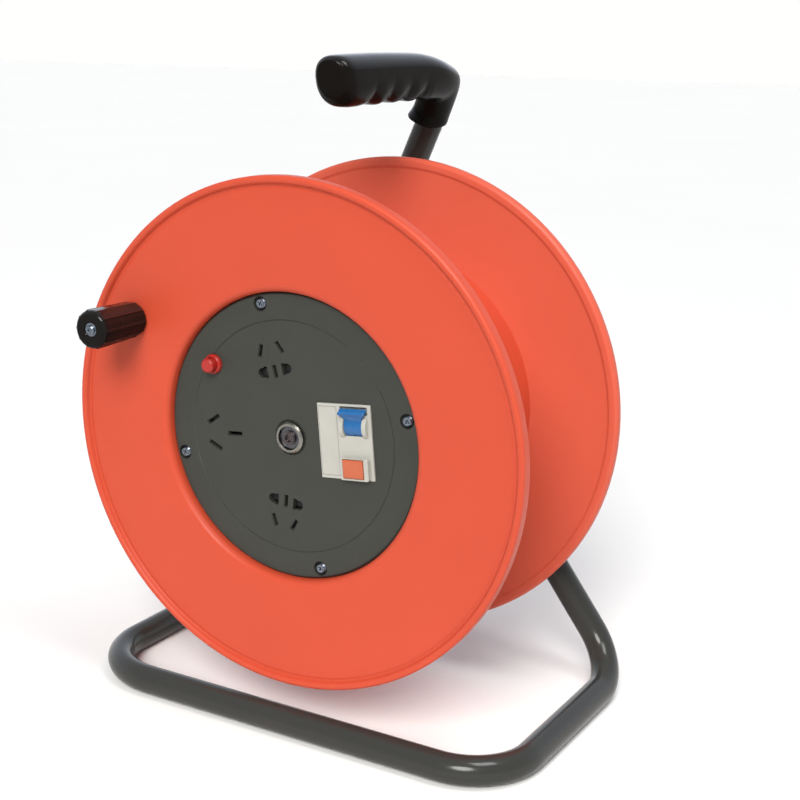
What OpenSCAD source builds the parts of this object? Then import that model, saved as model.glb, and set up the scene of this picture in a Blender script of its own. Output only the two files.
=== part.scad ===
// Extension cord reel on a bent-tube stand.
// The drum turns on a fixed axle and carries three mains sockets, a
// residual-current breaker and an overload reset. Millimetres, +Z up,
// floor at z = 0. Front is -Y. The origin is the centre of the footprint.

/* [Drum] */
// Outer radius of both flanges
flange_r = 155; // [150:0.5:158]
// Overall width of the drum over both rims
drum_w = 140; // [136:1:142]
// Height of the axle above the floor
axle_h = 185.5; // [180:0.5:200]
// Outer radius of the core that the cord is wound on
core_r = 97; // [96:0.5:98]
// Wall thickness of the core
core_wall = 2.5; // [2:0.5:3]
// Thickness of each flange web
web_t = 3.2; // [2.5:0.1:3.5]
// Radial width of the rolled rim
rim_w = 4.6; // [4:0.1:6]
// Axial depth of the rolled rim
rim_d = 9; // [8:0.5:10]

/* [Panel] */
// Radius of the socket panel
panel_r = 87.2; // [86.5:0.1:87.4]
// Thickness of the socket panel
panel_t = 3.3; // [3:0.1:3.5]
// How far the panel face lies behind the front rim
panel_set = 8.7; // [8:0.1:9]
// Turn of the whole panel layout about the axle
layout_a = 5.5; // [0:0.5:20]
// Pitch radius of the panel screws
screw_pr = 81.2; // [80.5:0.1:81.5]

/* [Knob] */
// Distance from the axle to the crank knob
knob_pr = 127.1; // [125:0.1:132]
// Direction of the crank knob, from +X towards +Z
knob_a = 151.8; // [140:0.1:165]
// Radius of the knob at its free end
knob_r = 12.2; // [11:0.1:13]
// Length of the knob
knob_l = 41; // [34:1:44]

/* [Stand] */
// Outside diameter of the stand's tube
tube_d = 18; // [17:0.5:19]
// Wall thickness of the tube
tube_t = 1.5; // [1.2:0.1:2]
// Half the spacing of the two side bars
side_x = 150.3; // [148:0.1:153]
// Front bar, distance ahead of the drum's middle
front_y = 73.5; // [72:0.5:78]
// Plane of the two rear legs, behind the drum's middle
rear_y = 104; // [102:0.5:108]
// Bend radius at the right front corner
bend_f = 40; // [34:1:50]
// Bend radius at the left front corner
bend_l = 49; // [40:1:60]
// Bend radius at the rear corners
bend_b = 34; // [30:1:45]
// Bend radius under the grip
bend_g = 27; // [27:1:30]
// Lean of the right leg from upright
leg_a = 36.6; // [34:0.2:38]
// Height of the tube inside the grip
grip_z = 391; // [385:0.5:396]
// Sideways place of the grip
grip_x = 12.5; // [8:0.5:16]

/* [Hidden] */
$fn = 64;

y_shift = -5.4;              // puts the origin under the middle of the footprint
tr = tube_d / 2;             // tube outer radius
ti = tr - tube_t;            // tube bore radius
zb = tr;                     // height of the legs' feet above the floor
flat = 0.2;                  // depth of the flat under the base bars
half = drum_w / 2;           // rim plane, from the drum's middle
web_s = half - 2.8;          // outer face of a web
web_b = web_s - web_t;       // inner face of a web
core_i = core_r - core_wall;
face = half - panel_set;     // panel face, from the drum's middle
back = face - panel_t;       // panel back
recess_r = panel_r + 0.4;    // wall round the panel
axle_r = 6;
bush_c = 0.05;               // running clearance on the axle
lean = atan((grip_x + side_x) / (grip_z - zb));   // left leg's lean
leg_l = (grip_z - zb) / cos(lean);                // left leg's length
sock_r = 40.3;               // earth slot's distance from the axle
top_a = 100.5;               // sockets round the panel
bot_a = -100;
rcd_x = 39;                  // breaker's middle
pivot_s = 57.6;              // toggle pivot, from the drum's middle
pivot_v = 8.9;
pivot_u = 6.5;
orange = [0.91, 0.37, 0.25];
grey = [0.30, 0.30, 0.29];
black = [0.13, 0.12, 0.12];
white = [0.87, 0.86, 0.82];
steel = [0.72, 0.73, 0.75];

// ---- placing helpers ----
module place() { translate([0, y_shift, 0]) children(); }
// the drum's own frame: x out along angle a, y back, z round
module drum(a = 0) { place() translate([0, 0, axle_h]) rotate([0, -a, 0]) children(); }
module lay(a = 0) { drum(a + layout_a) children(); }
// a cylinder along +Y, from s0 to s1 counted forwards from the drum's middle
module yc(r, s0, s1, r2 = -1) {
    translate([0, -s1, 0]) rotate([-90, 0, 0])
        cylinder(r1 = r2 < 0 ? r : r2, r2 = r, h = s1 - s0);
}
// a turned part about the drum's axis, profile in [radius, s]
module turn(front = true) {
    rotate([front ? 90 : -90, 0, 0]) rotate_extrude($fn = 128) children();
}
module at(x, z) { translate([x, 0, z]) children(); }
// a box of size u by v about the origin, s0 to s1 forwards
module pad(u, v, s0, s1) { translate([-u / 2, -s1, -v / 2]) cube([u, s1 - s0, v]); }
module slot(u, v, s0, s1, a = 0) { rotate([0, -a, 0]) pad(u, v, s0, s1); }
module rrect(w, h, r) {
    square([w - 2 * r, h], center = true);
    square([w, h - 2 * r], center = true);
    for (i = [-1, 1], j = [-1, 1]) translate([i * (w / 2 - r), j * (h / 2 - r)]) circle(r = r);
}
module rod(a, b, r) {
    d = b - a;
    translate(a) rotate([0, acos(d[2] / norm(d)), atan2(d[1], d[0])])
        cylinder(r = r, h = norm(d));
}
// a bent wire: eight-sided stretches that run into each other at the corners
module run(p, r) {
    for (i = [0:len(p) - 2]) {
        d = (p[i + 1] - p[i]) / norm(p[i + 1] - p[i]);
        rod(p[i] - (i > 0 ? 0.6 * r : 0) * d, p[i + 1] + (i < len(p) - 2 ? 0.6 * r : 0) * d, r, $fn = 8);
    }
}

// ---- stand ----
// the tilted plane of the left leg and grip: x up the leg, y back
module leg_plane() { translate([-side_x, 0, zb]) rotate([0, -(90 - lean), 0]) children(); }
module right_plane() { translate([side_x, 0, zb]) rotate([0, -(90 + leg_a), 0]) children(); }
module elbow(cx, cy, rb, a0, r, bore = 0) {
    translate([cx, cy, 0]) rotate([0, 0, a0]) rotate_extrude(angle = 90) translate([rb, 0]) difference() {
        circle(r = r);
        if (bore > 0) circle(r = bore);
    }
}
module bar(x0, x1, y, r, bore = 0) {
    translate([x0, y, 0]) rotate([0, 90, 0]) linear_extrude(height = x1 - x0) difference() {
        circle(r = r);
        if (bore > 0) circle(r = bore);
    }
}
module ybar(y0, y1, x, r, bore = 0) { translate([x, y0, 0]) rotate([0, 0, 90]) bar(0, y1 - y0, 0, r, bore); }
// right leg's length to where its axis meets the left leg's
meet = 2 * side_x / (tan(lean) + tan(leg_a));
right_l = meet / cos(leg_a);
grip_end = -22;              // front end of the tube inside the grip
module left_leg(r, bore = 0) { leg_plane() bar(bend_b, leg_l - bend_g, rear_y, r, bore); }
module right_leg(r, bore = 0) { right_plane() bar(bend_b, right_l, rear_y, r, bore); }
// the three stretches of tube are butt-welded to each other
module base_tube() {
    color([0.25, 0.26, 0.27]) place() difference() {
        translate([0, 0, zb - flat]) {
            bar(-side_x + bend_l, side_x - bend_f, -front_y, tr, ti);
            elbow(-side_x + bend_l, -front_y + bend_l, bend_l, 180, tr, ti);
            elbow(side_x - bend_f, -front_y + bend_f, bend_f, 270, tr, ti);
            ybar(-front_y + bend_l, rear_y - bend_b, -side_x, tr, ti);
            ybar(-front_y + bend_f, rear_y - bend_b, side_x, tr, ti);
        }
        // flat that the base rests on
        translate([-200, -200, -10]) cube([400, 400, 10]);
    }
}
module left_leg_tube() {
    color([0.25, 0.26, 0.27]) place() difference() {
        union() {
            left_leg(tr, ti);
            leg_plane() {
                elbow(bend_b, rear_y - bend_b, bend_b, 90, tr, ti);
                elbow(leg_l - bend_g, rear_y - bend_g, bend_g, 0, tr, ti);
                ybar(grip_end, rear_y - bend_g, leg_l, tr, ti);
            }
        }
        // cross holes for the grip screws
        for (y = [0, 58]) translate([grip_x - 20, y, grip_z]) rotate([0, 90, 0]) cylinder(r = 2.4, h = 40);
    }
}
module right_leg_tube() {
    color([0.25, 0.26, 0.27]) place() difference() {
        union() {
            right_plane() bar(bend_b, right_l - 4, rear_y, tr, ti);
            right_plane() elbow(bend_b, rear_y - bend_b, bend_b, 90, tr, ti);
        }
        // coped onto the left leg
        left_leg(tr);
    }
}
br_y0 = rear_y - tr - 4;      // bracket plate, front and back
br_y1 = rear_y - tr + 1.2;
module axle_bracket() {
    // flat bar across both legs, saddled on the tubes
    color([0.25, 0.26, 0.27]) place() difference() {
        translate([-84, br_y0, axle_h - 17]) cube([116, br_y1 - br_y0, 34]);
        right_leg(tr);
        left_leg(tr);
        translate([0, 0, axle_h]) yc(axle_r, -100, -80);
        // sheared ends follow the legs
        translate([-84, 0, axle_h]) rotate([0, lean, 0]) translate([-50, 80, -60]) cube([50, 40, 120]);
        translate([32, 0, axle_h]) rotate([0, -leg_a, 0]) translate([0, 80, -60]) cube([50, 40, 120]);
    }
}
module axle() {
    color(steel) drum() difference() {
        union() {
            yc(axle_r, -br_y1, back + 2.2);
            yc(axle_r - 0.6, back + 2.2, back + 2.6);
        }
        yc(2, back - 12, back + 4);
    }
}
module axle_weld() {
    // bead round the axle at the bracket
    color([0.25, 0.26, 0.27]) place() translate([0, 0, axle_h]) turn(false) difference() {
        translate([axle_r, br_y0]) circle(r = 2.4, $fn = 48);
        translate([axle_r - 5, br_y0 - 5]) square([5, 10]);
        translate([axle_r - 1, br_y0]) square([10, 5]);
    }
}
module axle_spacer() {
    color(steel) drum() difference() {
        yc(9.5, -(br_y0 - 2.6), -70.3);
        yc(axle_r, -100, -60);
    }
}
module thrust_washer() {
    color(steel) drum() difference() { yc(14, -70.3, -68.7); yc(axle_r, -80, -60); }
}
// ring of the front bush stands proud of the panel; the washer and screw sit in it
ring_s = face + 2.2;
seat_s = back + 2.6;          // end of the axle, where the washer sits
module retaining_washer() {
    color([0.55, 0.57, 0.60]) drum() difference() {
        union() { yc(6.9, seat_s, seat_s + 1.1); yc(6.5, seat_s + 1.1, seat_s + 1.3); }
        yc(2, 40, 80);
    }
}
module axle_screw() {
    color([0.45, 0.40, 0.38]) drum() difference() {
        union() {
            yc(2, seat_s - 11, seat_s + 1.3);
            yc(4.3, seat_s + 1.3, seat_s + 2.6);
            yc(3.7, seat_s + 2.6, seat_s + 3.1);
        }
        yc(2.4, seat_s + 1.6, seat_s + 4);
    }
}

// ---- grip ----
module grip_solid() {
    translate([grip_x, -41.5, grip_z + 0.6]) rotate([-90, 0, 0])
        linear_extrude(height = 41.5 + rear_y - bend_g + 16) rrect(26, 30, 11.5);
    leg_plane() {
        elbow(leg_l - bend_g, rear_y - bend_g, bend_g, 0, 12.6);
        bar(leg_l - 32.2, leg_l - bend_g, rear_y, 11.4);
        bar(leg_l - 32.2, leg_l - 10, rear_y - 4.6, 11.8);
        bar(leg_l - 32.2, leg_l - 29.4, rear_y - 6.8, 12.6);
    }
}
module grip_core() {
    // room for the tube, and the hollow ends
    leg_plane() {
        elbow(leg_l - bend_g, rear_y - bend_g, bend_g, 0, tr + 0.15);
        bar(leg_l - 50, leg_l - bend_g, rear_y, tr + 0.15);
        ybar(grip_end - 1, rear_y - bend_g, leg_l, tr + 0.15);
    }
    for (y = [0, 58]) translate([grip_x - 30, y, grip_z]) rotate([0, 90, 0]) {
        cylinder(r = 2, h = 30 + 11);
        cylinder(r = 4, h = 30 - 11.2);
    }
    // finger grooves across the underside
    for (y = [-8, 13.5, 35]) translate([0, y, grip_z - 16.6]) rotate([0, 90, 0]) cylinder(r = 3.2, h = 40);
}
module grip_left_shell() {
    color(black) place() difference() {
        grip_solid();
        grip_core();
        leg_plane() translate([300, -60, -40]) cube([160, 220, 40]);
    }
}
module grip_right_shell() {
    color(black) place() difference() {
        grip_solid();
        grip_core();
        leg_plane() translate([300, -60, 0]) cube([160, 220, 40]);
    }
}
module grip_screws() {
    color(steel) place() for (y = [0, 58]) translate([grip_x - 11.2, y, grip_z]) rotate([0, 90, 0]) difference() {
        union() {
            cylinder(r = 2, h = 11.2 + 11);
            translate([0, 0, -1.6]) cylinder(r1 = 3.2, r2 = 3.7, h = 1.6);
        }
        for (a = [0, 90]) rotate([0, 0, a]) translate([-0.35, -2.2, -2]) cube([0.7, 4.4, 1.2]);
    }
}

// ---- drum shells ----
// rolled rim and web, shared by both flanges
module rim_profile() {
    r = 1.9;
    translate([flange_r - rim_w / 2, half - rim_d / 2]) rrect(rim_w, rim_d, r);
    difference() {
        translate([recess_r + 5, web_b]) square([flange_r - 2 - recess_r - 5, web_t]);
        // groove that sets the rim off from the web
        translate([flange_r - rim_w - 0.6, web_s + 0.2]) circle(r = 0.8, $fn = 32);
    }
}
module spigot() { translate([core_i - 2.2, web_b - 10]) square([2.2, 10 + 0.1]); }
module front_flange() {
    color(orange) difference() {
        union() {
            drum() turn() {
                rim_profile();
                spigot();
                // rounded lip into the panel recess
                intersection() {
                    translate([recess_r + 5, web_s - 5]) circle(r = 5);
                    translate([recess_r, web_s - 5]) square([5, 5]);
                }
                translate([recess_r, back - 3]) square([2.2, web_s - 5 - back + 3]);
                translate([recess_r, web_b - 2]) square([5.2, web_s - 5 - web_b + 2]);
                // ledge under the panel
                translate([77, back - 3]) square([recess_r - 77 + 0.1, 3]);
            }
            // posts for the panel screws
            for (a = [10:90:280]) lay(a) at(screw_pr, 0) yc(4.6, back - 16, back - 2.9);
            // boss behind the crank knob
            drum(knob_a) at(knob_pr, 0) yc(8, web_b - 5, web_b + 0.1);
        }
        for (a = [10:90:280]) lay(a) at(screw_pr, 0) yc(1.9, back - 14, back + 1);
        drum(knob_a) at(knob_pr, 0) yc(2, web_b - 8, web_s + 1);
    }
}
gland_a = -150;               // cable gland's place round the core
gland_y = 34;                 // and behind the drum's middle
module drum_core() {
    color(orange) difference() {
        union() {
            drum() difference() { yc(core_r, -web_b, web_b, core_r); yc(core_i, -80, 80); }
            // posts that take the rear flange's screws
            for (a = [45:90:315]) lay(a) at(core_i - 4.6, 0) yc(4.6, -(web_b - 10), -20);
            for (a = [45:90:315]) lay(a) at(core_i - 2.2, 0) pad(5, 5, -(web_b - 10), -20);
        }
        for (a = [45:90:315]) lay(a) at(core_i - 4.6, 0) yc(1.6, -70, -30);
        lay(gland_a) translate([80, gland_y, 0]) rotate([0, 90, 0]) cylinder(r = 8, h = 30);
    }
}
module rear_flange() {
    color(orange) difference() {
        union() {
            drum() turn(false) {
                rim_profile();
                spigot();
                translate([9, web_b]) square([recess_r + 5.1 - 9, web_t]);
                translate([9, web_b - 12]) square([5.5, 12.1]);
                // stiffening rings on the back
                translate([26, web_s - 0.1]) square([2, 1.3]);
                translate([72, web_s - 0.1]) square([2, 1.3]);
            }
            // gussets round the hub
            for (a = [0:45:315]) lay(a + 22.5) translate([14, web_b - 8, -1]) cube([26, 8.1, 2]);
        }
        for (a = [45:90:315]) lay(a) at(core_i - 4.6, 0) yc(2.2, -80, -(web_b - 12));
        // clear of the core's posts
        for (a = [45:90:315]) lay(a) at(core_i - 4.6, 0) pad(12, 12, -web_b, -(web_b - 13));
    }
}
module pan_screw(head_r, head_h, shank_r, s_seat, s_tip) {
    // drawn with its head forwards, cross-recessed
    difference() {
        union() {
            yc(shank_r, s_tip, s_seat + 0.1);
            yc(head_r, s_seat, s_seat + head_h * 0.45);
            yc(head_r * 0.72, s_seat + head_h * 0.45, s_seat + head_h, head_r * 0.72);
            translate([0, -(s_seat + head_h * 0.45), 0]) rotate([90, 0, 0])
                cylinder(r1 = head_r, r2 = head_r * 0.72, h = head_h * 0.4);
        }
        for (a = [0, 90]) slot(head_r * 0.95, 0.6, s_seat + head_h * 0.45, s_seat + head_h + 1, a + 45);
    }
}
module flange_screws() {
    color(steel) for (a = [45:90:315]) lay(a) at(core_i - 4.6, 0)
        mirror([0, 1, 0]) pan_screw(4.2, 2.4, 1.6, web_s, 32);
}

// ---- bushes ----
module front_bush() {
    color([0.80, 0.81, 0.83]) drum() difference() {
        union() {
            yc(9, 44, face + 0.1);
            yc(9.5, face - 1, ring_s - 0.9);
            translate([0, -(ring_s - 0.9), 0]) rotate([90, 0, 0]) cylinder(r1 = 9.5, r2 = 8.6, h = 0.9);
        }
        yc(axle_r + bush_c, 40, 80);
        yc(7.3, seat_s - 0.3, 80);
    }
}
module rear_bush() {
    color([0.85, 0.84, 0.80]) drum() difference() {
        union() { yc(9, -web_s, -50); yc(13, -68.4, -web_s); }
        yc(axle_r + bush_c, -80, -40);
    }
}

// ---- socket panel ----
// openings of a five-hole outlet; x out from the axle, z across
module five_holes(s0, s1) {
    at(sock_r, 0) {
        slot(7.2, 2.1, s0, s1);
        at(13.7, -6.95) slot(7.2, 2.1, s0, s1, 25);
        at(13.7, 6.95) slot(7.2, 2.1, s0, s1, -25);
        for (k = [-1, 1]) at(0.4, k * 6.3) d_hole(k, s0, s1);
    }
}
module d_hole(k, s0, s1) {
    // flat blade slot with a round-pin hole on its outer side
    pad(7, 2.2, s0, s1);
    at(0, k * 1.8) pad(6, 2, s0, s1);
    at(0, k * 2.9) yc(2.95, s0, s1);
}
module three_holes(s0, s1) {
    at(sock_r, 0) {
        slot(9.8, 2.2, s0, s1);
        at(15.4, -8.2) slot(9.4, 2.2, s0, s1, 30);
        at(15.4, 8.2) slot(9.4, 2.2, s0, s1, -30);
    }
}
module holes_all(s0, s1) {
    lay(top_a) five_holes(s0, s1);
    lay(bot_a) five_holes(s0, s1);
    lay(180) three_holes(s0, s1);
}
reset_r = 67.1;
reset_a = 140.3;
module socket_panel() {
    color(grey) difference() {
        union() {
            drum() turn() difference() {
                square([panel_r, face]);
                square([panel_r + 1, back]);
                // bevelled edge
                translate([panel_r, face]) rotate(45) square([1.7, 4], center = true);
                // fine groove round the panel
                translate([70.6, face]) circle(r = 0.35, $fn = 24);
            }
            drum() yc(13.5, 48, back + 0.1);
            // locating ribs beside the sockets
            for (a = [top_a, bot_a, 180]) lay(a) at(sock_r - 10.5, 0) pad(2, 24, back - 6, back + 0.1);
        }
        drum() yc(9, 40, 80);
        // countersink that the front bush sits in
        drum() yc(9.9, face - 1, face + 0.01, 10.9);
        for (a = [10:90:280]) lay(a) at(screw_pr, 0) { yc(2.1, 50, 80); yc(4.5, face - 2.3, 80); }
        lay() at(rcd_x, 0) pad(36.2, 45.2, 40, 80);
        lay(reset_a) at(reset_r, 0) yc(5.6, 40, 80);
        holes_all(back - 1, face + 1);
        // shallow lead-in round each slot
        holes_lead();
    }
}
module holes_lead() {
    s = face - 0.5;
    for (a = [top_a, bot_a]) lay(a) at(sock_r, 0) {
        slot(8, 2.9, s, face + 1);
        at(13.7, -6.95) slot(8, 2.9, s, face + 1, 25);
        at(13.7, 6.95) slot(8, 2.9, s, face + 1, -25);
    }
    lay(180) at(sock_r, 0) {
        slot(10.6, 3, s, face + 1);
        at(15.4, -8.2) slot(10.2, 3, s, face + 1, 30);
        at(15.4, 8.2) slot(10.2, 3, s, face + 1, -30);
    }
}
module panel_screws() {
    color(steel) for (a = [10:90:280]) lay(a) at(screw_pr, 0)
        pan_screw(3.5, 2.4, 1.9, face - 2.3, back - 13);
}

// ---- sockets ----
bay = 3.2;                    // depth of a shutter's bay
shut5 = 7.2;                  // travel of a five-hole outlet's shutter
shut3 = 10.3;                 // travel of the three-hole outlet's shutter
module socket_shell(w1, t, bay1, bt) {
    // body behind the panel, with a bay for its shutter
    difference() {
        translate([31, -back, -t]) cube([w1 - 31, 20, 2 * t]);
        translate([33.5, -back - 1, -bt]) cube([bay1 - 33.5, bay + 1, 2 * bt]);
        children();
        for (k = [-1, 1]) at(w1 - 2.2, k * (t - 3)) yc(1.2, back - 12, back + 1);
    }
}
module socket5() { socket_shell(70, 15.5, 66.8, 13) five_holes(back - 16, back); }
module top_socket_body() { color(white) lay(top_a) socket5(); }
module bottom_socket_body() { color(white) lay(bot_a) socket5(); }
module left_socket_body() {
    color(white) lay(180) socket_shell(73.6, 16, 71.6, 13.4) three_holes(back - 16, back);
}
// spring contacts: two leaves and a foot in each well
module leaves(l, a) {
    rotate([0, -a, 0]) {
        for (k = [-1, 1]) at(0, k * 0.78) pad(l - 1.4, 0.34, back - 15.8, back - 5);
        pad(l - 1.4, 1.8, back - 15.8, back - 15.2);
    }
}
module contacts5() {
    at(sock_r, 0) {
        leaves(7.2, 0);
        for (k = [-1, 1]) { at(13.7, k * 6.95) leaves(7.2, k * -25); at(0.4, k * 6.3) leaves(6.8, 0); }
    }
}
module top_socket_contacts() { color([0.78, 0.62, 0.30]) lay(top_a) contacts5(); }
module bottom_socket_contacts() { color([0.78, 0.62, 0.30]) lay(bot_a) contacts5(); }
module left_socket_contacts() {
    color([0.78, 0.62, 0.30]) lay(180) at(sock_r, 0) {
        leaves(9.8, 0);
        for (k = [-1, 1]) at(15.4, k * 8.2) leaves(9.4, k * -30);
    }
}
// shutters close the live holes and slide away from the axle
module shutter5() {
    difference() {
        translate([36.6, -back + 0.4, -12.6]) cube([22.4, 2.2, 25.2]);
        translate([30, -80, -1.9]) cube([14.4, 80, 3.8]);
        for (k = [-1, 1]) at(46.8, k * 6.9) pad(7.8, 7.2, 40, 80);
    }
}
module top_socket_shutter() { color([0.75, 0.74, 0.70]) lay(top_a) shutter5(); }
module bottom_socket_shutter() { color([0.75, 0.74, 0.70]) lay(bot_a) shutter5(); }
module left_socket_shutter() {
    color([0.75, 0.74, 0.70]) lay(180)
        translate([50.6, -back + 0.4, -11.6]) cube([10.4, 2.2, 23.2]);
}

// ---- residual-current breaker ----
// local frame: u across, v up, about the breaker's middle
module rcd() { lay() translate([rcd_x, 0, 0]) children(); }
plate_s = face + 1;           // front plate, just proud of the panel
lug_s = face + 4.6;           // surround of the test button
test_u = 5.9;
test_v = -15.2;
hub_r = 6.6;                  // toggle's drum
ear_r = 7.8;                  // cheeks beside it
module rcd_housing() {
    color([0.80, 0.79, 0.75]) rcd() difference() {
        pad(36, 60, 12, back);
        // room for the toggle's drum and the button's stem
        at(pivot_u, 0) translate([-6.8, -pivot_s, pivot_v]) rotate([0, 90, 0]) cylinder(r = 7.4, h = 13.6);
        at(test_u, test_v) pad(14.2, 11.6, back - 4, back + 1);
    }
}
// a cylinder across the breaker about the toggle's pivot, w wide
module across(r, w) { translate([pivot_u - w / 2, -pivot_s, pivot_v]) rotate([0, 90, 0]) cylinder(r = r, h = w); }
module rcd_cover() {
    color(white) rcd() difference() {
        union() {
            pad(35.8, 44.8, back, plate_s);
            // raised surround of the test button
            at(6.6, -15.4) translate([0, -back, 0]) rotate([90, 0, 0])
                linear_extrude(height = lug_s - back) rrect(18.8, 13.2, 1.2);
            // curved cheeks on both sides of the toggle
            intersection() {
                across(ear_r, 18.3);
                at(pivot_u, pivot_v) pad(30, 30, back, 80);
            }
        }
        // slot that the toggle's drum and neck turn in
        across(hub_r + 0.35, 12.7);
        at(pivot_u, pivot_v) pad(12.7, 0.1 + 2 * ear_r, plate_s, 80);
        at(pivot_u, 12.6) pad(12.7, 8, 50, 80);
        // shallow pocket behind the raised lever
        at(pivot_u, 18.6) pad(18.4, 4.8, 59.6, 80);
        at(test_u, test_v) pad(14.2, 11.6, 50, 80);
        // fine line round the marking area
        at(-11.2, 0) difference() { pad(12.6, 41.4, plate_s - 0.25, 80); pad(12, 40.8, 50, 81); }
    }
}
module rcd_toggle() {
    color([0.22, 0.48, 0.72]) rcd() {
        across(hub_r, 12);
        // lever, up at rest: its neck passes the cheeks and its tip is wider
        translate([pivot_u, -pivot_s, pivot_v]) rotate([34, 0, 0]) intersection() {
            rotate([90, 0, 90]) translate([0, 0, -9])
                linear_extrude(height = 18) polygon([[-2.6, 5], [2.6, 5.4], [2.0, 9], [2.1, 11.7], [1.3, 12.6], [-1.4, 12.6], [-2.3, 11.8], [-2.2, 9]]);
            rotate([90, 0, 0]) translate([0, 0, -6])
                linear_extrude(height = 12) polygon([[-6, 4], [6, 4], [6, 8.1], [8.85, 10.9], [8.85, 11.8], [8.2, 12.6], [-8.2, 12.6], [-8.85, 11.8], [-8.85, 10.9], [-6, 8.1]]);
        }
    }
}
module rcd_test_button() {
    color([0.93, 0.50, 0.32]) rcd() at(test_u, test_v) difference() {
        pad(13.6, 11, back - 1.5, lug_s + 1.1);
        // rounded top edges
        for (k = [-1, 1]) {
            translate([k * 6.8, -(lug_s + 1.1), 0]) rotate([0, 0, 45]) cube([0.9, 0.9, 30], center = true);
            translate([0, -(lug_s + 1.1), k * 5.5]) rotate([45, 0, 0]) cube([30, 0.9, 0.9], center = true);
        }
    }
}

// ---- overload reset ----
module reset() { lay(reset_a) at(reset_r, 0) children(); }
module overload_body() {
    color([0.20, 0.20, 0.21]) reset() difference() {
        union() { pad(17, 17, 30, back); yc(5.5, back - 1, face); }
        yc(4.6, 46, 80);
    }
}
module overload_collar() {
    color([0.80, 0.17, 0.13]) reset() difference() {
        union() {
            yc(6, face, face + 2);
            translate([0, -(face + 2), 0]) rotate([90, 0, 0]) cylinder(r1 = 6, r2 = 5.2, h = 1.2);
        }
        yc(4.6, 40, 80);
    }
}
module overload_reset_button() {
    color([0.85, 0.20, 0.15]) reset() {
        yc(4.3, 52, face + 7.1);
        translate([0, -(face + 7.1), 0]) rotate([90, 0, 0]) cylinder(r1 = 4.3, r2 = 3.4, h = 0.9);
    }
}

// ---- inside the drum ----
// terminal block on the rear flange, behind the breaker
tb_s = -(web_b);              // it stands on the rear web
module terminal_block() {
    color([0.82, 0.80, 0.72]) lay() difference() {
        translate([44, web_b - 14, -24]) cube([16, 14, 48]);
        for (z = [-16, 0, 16]) at(52, z) yc(2.2, -(web_b - 6), -40);
        for (z = [-16, 0, 16]) at(52, z) yc(1, -(web_b - 4), -40);
    }
}
module terminal_screws() {
    color([0.78, 0.62, 0.30]) lay() for (z = [-16, 0, 16]) at(52, z) difference() {
        yc(2.2, -(web_b - 6), -(web_b - 9));
        pad(6, 0.7, -(web_b - 9.6), -(web_b - 10));
        slot(5, 0.7, -(web_b - 8.2), -(web_b - 10));
    }
}
module wire(p, r = 1.4) { lay() run(p, r); }
// from the terminals to the breaker and round the outlets
module wire_live() {
    color([0.45, 0.25, 0.15]) {
        wire([[52, web_b - 9, -16], [52, -11.9, -16]]);
        wire([[30, -11.9, 20], [30, -4, 20], [4, -4, 56], [4, -(back - 20), 56]]);
        wire([[30, -11.9, 8], [30, 2, 8], [0, 2, 26], [-58, 2, 10], [-58, -(back - 20), 10]]);
        wire([[30, -11.9, -14], [30, -4, -14], [4, -4, -58], [4, -(back - 20), -58]]);
    }
}
module wire_neutral() {
    color([0.20, 0.35, 0.65]) {
        wire([[52, web_b - 9, 0], [52, -11.9, 0]]);
        wire([[44, -11.9, 22], [44, 6, 22], [-8, 6, 62], [-8, -(back - 20), 62]]);
        wire([[30, -11.9, -4], [30, 12, -4], [0, 12, -24], [-58, 12, -10], [-58, -(back - 20), -10]]);
        wire([[44, -11.9, -22], [44, 6, -22], [-8, 6, -62], [-8, -(back - 20), -62]]);
    }
}
module wire_earth() {
    color([0.55, 0.65, 0.20]) {
        wire([[52, web_b - 9, 16], [52, 22, 16], [-12, 22, 46], [-12, -(back - 20), 46]]);
        wire([[-44, -(back - 20), 0], [-44, 26, 0], [-26, 26, 52], [-18, 0, 52], [-18, -(back - 20), 52]]);
        wire([[-40, -(back - 20), -6], [-40, 16, -6], [-12, 16, -46], [-12, -(back - 20), -46]]);
    }
}
// cord entry through the core: gland outside, nut inside
module entry() { lay(gland_a) translate([0, gland_y, 0]) rotate([0, 90, 0]) children(); }
module cable_gland() {
    color([0.16, 0.16, 0.17]) entry() difference() {
        union() {
            translate([0, 0, core_i - 8]) cylinder(r = 7.9, h = 12);
            // flange on the core, shaped to its curve by its own wall
            translate([0, 0, core_r - 0.4]) cylinder(r = 11, h = 3.4);
            translate([0, 0, core_r + 3]) cylinder(r1 = 11, r2 = 8.4, h = 5);
        }
        translate([0, 0, core_i - 20]) cylinder(r = 5.6, h = 60);
        // the flange sits on the round core
        difference() {
            translate([-20, -20, core_r - 20]) cube([40, 40, 20.4]);
            translate([0, 0, core_i - 8]) cylinder(r = 7.9, h = 40);
        }
    }
}
module gland_nut() {
    color([0.16, 0.16, 0.17]) entry() difference() {
        translate([0, 0, core_i - 7.5]) cylinder(r = 12, h = 5, $fn = 6);
        translate([0, 0, core_i - 20]) cylinder(r = 7.9, h = 40);
    }
}
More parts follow.
